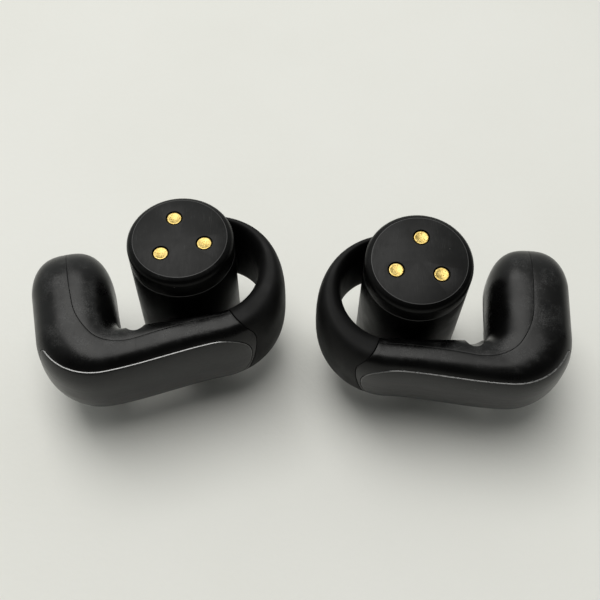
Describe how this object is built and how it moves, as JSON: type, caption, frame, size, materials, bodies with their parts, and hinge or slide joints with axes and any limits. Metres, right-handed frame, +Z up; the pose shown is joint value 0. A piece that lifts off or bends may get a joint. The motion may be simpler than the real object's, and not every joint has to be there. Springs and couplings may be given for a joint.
{
  "type": "open ear clip earbuds",
  "caption": "Pair of open-ear clip earbuds: a battery barrel with charging contacts, a flexible silicone arm and a J-shaped speaker housing with a trim plate.",
  "frame": {"origin": "on the table plane, under the centre of the bounding box of the pair at rest", "axes": "+X from the left earbud to the right one (longest extent), +Y from the trim plates to the arm roots at the back, +Z up from the table, along the left barrel"},
  "size_m": [0.0612, 0.0208, 0.0202],
  "materials": {
    "satin_black": "satin moulded black plastic, fine moulded grain",
    "silicone": "matte soft-touch black silicone",
    "soft_seal": "soft black seal",
    "trim_grey": "smooth dark grey metallic coating with a bright edge",
    "gold": "gold plated",
    "steel": "plain steel",
    "nickel_magnet": "nickel plated magnet",
    "circuit_board": "green solder mask",
    "mesh_black": "fine black woven mesh",
    "spring_wire": "nickel titanium spring wire",
    "enamel_cable": "bundled enamelled wires",
    "amber_film": "amber polymer film"
  },
  "bodies": {
    "left_barrel": {"left_barrel_shell": "satin_black", "left_charging_cap": "satin_black", "left_contact_pin_1": "gold", "left_contact_pin_2": "gold", "left_contact_pin_3": "gold", "left_cap_gasket": "soft_seal", "left_contact_board": "circuit_board", "left_retention_magnet": "nickel_magnet", "left_shield_can": "steel", "left_main_board": "circuit_board", "left_battery_cell": "steel", "left_button_board": "circuit_board", "left_dome_switch": "steel", "left_button_seal": "soft_seal", "left_antenna_film": "amber_film", "left_arm_anchor": "satin_black", "left_arm_sleeve": "silicone", "left_arm_spring": "spring_wire", "left_arm_cable": "enamel_cable"},
    "left_speaker": {"left_outer_housing": "satin_black", "left_inner_cover": "satin_black", "left_trim_plate": "trim_grey", "left_nozzle_mesh": "mesh_black", "left_driver_frame": "steel", "left_driver_diaphragm": "amber_film", "left_driver_magnet": "nickel_magnet", "left_speaker_board": "circuit_board", "left_front_mic": "gold"},
    "left_button": {"left_button_cap": "satin_black"},
    "right_barrel": {"right_barrel_shell": "satin_black", "right_charging_cap": "satin_black", "right_contact_pin_1": "gold", "right_contact_pin_2": "gold", "right_contact_pin_3": "gold", "right_cap_gasket": "soft_seal", "right_contact_board": "circuit_board", "right_retention_magnet": "nickel_magnet", "right_shield_can": "steel", "right_main_board": "circuit_board", "right_battery_cell": "steel", "right_button_board": "circuit_board", "right_dome_switch": "steel", "right_button_seal": "soft_seal", "right_antenna_film": "amber_film", "right_arm_anchor": "satin_black", "right_arm_sleeve": "silicone", "right_arm_spring": "spring_wire", "right_arm_cable": "enamel_cable"},
    "right_speaker": {"right_outer_housing": "satin_black", "right_inner_cover": "satin_black", "right_trim_plate": "trim_grey", "right_nozzle_mesh": "mesh_black", "right_driver_frame": "steel", "right_driver_diaphragm": "amber_film", "right_driver_magnet": "nickel_magnet", "right_speaker_board": "circuit_board", "right_front_mic": "gold"},
    "right_button": {"right_button_cap": "satin_black"}
  },
  "joints": [
    {"name": "left_arm_flex", "type": "hinge", "parent": "left_barrel", "child": "left_speaker", "pos_m": [-0.00359, 0.0051, 0.0105], "axis": [0, 0, 1], "range_deg": [-1.5, 22], "stiffness_Nm_per_rad": 0.05, "deforming": ["left_arm_sleeve", "left_arm_spring", "left_arm_cable"]},
    {"name": "left_button_press", "type": "slide", "parent": "left_barrel", "child": "left_button", "axis": [0, 0, 1], "range_m": [0, 0.0003], "stiffness_N_per_m": 200},
    {"name": "right_arm_flex", "type": "hinge", "parent": "right_barrel", "child": "right_speaker", "pos_m": [0.00345, 0.00127, 0.01093], "axis": [0, 0.1288, -0.9917], "range_deg": [-1.5, 22], "stiffness_Nm_per_rad": 0.05, "deforming": ["right_arm_sleeve", "right_arm_spring", "right_arm_cable"]},
    {"name": "right_button_press", "type": "slide", "parent": "right_barrel", "child": "right_button", "axis": [0, -0.1288, 0.9917], "range_m": [0, 0.0003], "stiffness_N_per_m": 200},
    {"name": "right_bud_apart", "type": "slide", "parent": "left_barrel", "child": "right_barrel", "axis": [1, 0, 0], "range_m": [0, 0.03]}
  ]
}
